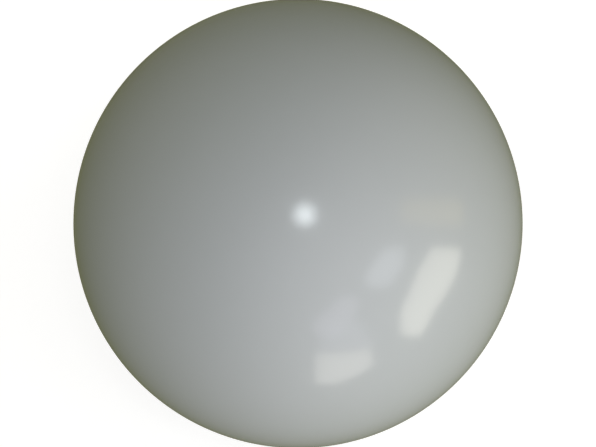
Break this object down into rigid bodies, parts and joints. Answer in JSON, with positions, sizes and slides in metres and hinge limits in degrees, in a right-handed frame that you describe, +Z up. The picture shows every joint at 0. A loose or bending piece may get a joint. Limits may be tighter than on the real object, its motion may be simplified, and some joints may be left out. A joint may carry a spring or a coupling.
{
  "type": "floating pool light",
  "caption": "Milky globe lamp that floats on a pool or stands on a flat surface; the globe screws down over a weighted, sealed base with the lights and battery.",
  "frame": {"origin": "on the globe's vertical axis, at the level that the foot ring stands on", "axes": "+Z up through the top of the globe; the tether ring folds towards -X and the charging socket is on the +X side"},
  "size_m": [0.2999, 0.3, 0.286],
  "materials": {
    "milky_shell": "satin, milky translucent polyethylene",
    "neck_plastic": "satin, milky",
    "washer_nylon": "natural nylon",
    "base_plastic": "fine grain, pale grey",
    "cover_plastic": "fine grain, grey",
    "foot_rubber": "matt elastomer",
    "seal_rubber": "nitrile",
    "silicone": "soft silicone",
    "zinc_steel": "zinc plated",
    "stainless": "stainless, polished",
    "spring_steel": "spring wire",
    "button_plastic": "satin blue",
    "lens_clear": "clear light guide",
    "socket_plastic": "black",
    "pin_brass": "plated",
    "board_green": "solder mask on glass-fibre board",
    "board_white": "white solder mask",
    "chip_black": "moulded",
    "switch_black": "moulded",
    "plug_cream": "nylon",
    "cell_wrap": "shrink sleeve over a can",
    "tray_plastic": "black",
    "nickel": "nickel strip",
    "band": "elastic band",
    "lead_red": "sleeve",
    "lead_grey": "sleeve",
    "deck_plastic": "white",
    "spreader_metal": "milled",
    "led_phosphor": "phosphor in a white cup",
    "receiver_black": "dark filter resin",
    "reflector_white": "white",
    "dome_clear": "clear polycarbonate",
    "ring_white": "white"
  },
  "bodies": {
    "base": {"base_pan": "base_plastic", "neck_seal": "seal_rubber", "foot_ring": "foot_rubber", "ballast_ring": "zinc_steel", "ballast_screws": "zinc_steel", "service_cover": "cover_plastic", "cover_gasket": "seal_rubber", "cover_screws": "stainless", "button_spring": "spring_steel", "button_bridge": "stainless", "bridge_rivets": "cover_plastic", "status_lens": "lens_clear", "charge_socket": "socket_plastic", "socket_pin": "pin_brass", "flap_anchor": "silicone", "control_board": "board_green", "board_screws": "zinc_steel", "board_chips": "chip_black", "tact_switch": "switch_black", "board_sockets": "plug_cream", "battery_cells": "cell_wrap", "battery_tray": "tray_plastic", "battery_contacts": "nickel", "battery_straps": "band", "tray_screws": "zinc_steel", "battery_lead": "lead_red", "light_lead": "lead_grey", "deck_gasket": "seal_rubber", "deck_plate": "deck_plastic", "heat_spreader": "spreader_metal", "led_board": "board_white", "led_chips": "led_phosphor", "led_screws": "zinc_steel", "remote_receiver": "receiver_black", "reflector": "reflector_white", "light_dome": "dome_clear", "dome_seal": "seal_rubber", "dome_ring": "ring_white", "dome_screws": "stainless"},
    "globe": {"globe_shell": "milky_shell", "neck_ring": "neck_plastic"},
    "slip_ring": {"slip_ring": "washer_nylon"},
    "power_button": {"power_button": "button_plastic"},
    "socket_flap": {"socket_flap": "silicone"},
    "tether_ring": {"tether_ring": "stainless"}
  },
  "joints": [
    {"name": "globe_turn", "type": "hinge", "parent": "base", "child": "slip_ring", "pos_m": [0, 0, 0.0181], "axis": [0, 0, 1], "range_deg": [0, 1440]},
    {"name": "globe_lift", "type": "slide", "parent": "slip_ring", "child": "globe", "axis": [0, 0, 1], "range_m": [0, 0.1201]},
    {"name": "button_press", "type": "slide", "parent": "base", "child": "power_button", "axis": [0, 0, 1], "range_m": [0, 0.0012], "stiffness_N_per_m": 800, "springref_m": -0.0006, "deforming": ["button_spring"]},
    {"name": "flap_swing", "type": "hinge", "parent": "base", "child": "socket_flap", "pos_m": [0.0068, 0.008, 0.0018], "axis": [0, 1, 0], "range_deg": [0, 110]},
    {"name": "tether_swing", "type": "hinge", "parent": "base", "child": "tether_ring", "pos_m": [-0.013, 0.008, 0.0042], "axis": [0, -1, 0], "range_deg": [0, 130]}
  ],
  "couplings": [
    {"joint": "globe_lift", "follows": "globe_turn", "m_per_rad": 0.0047746}
  ]
}
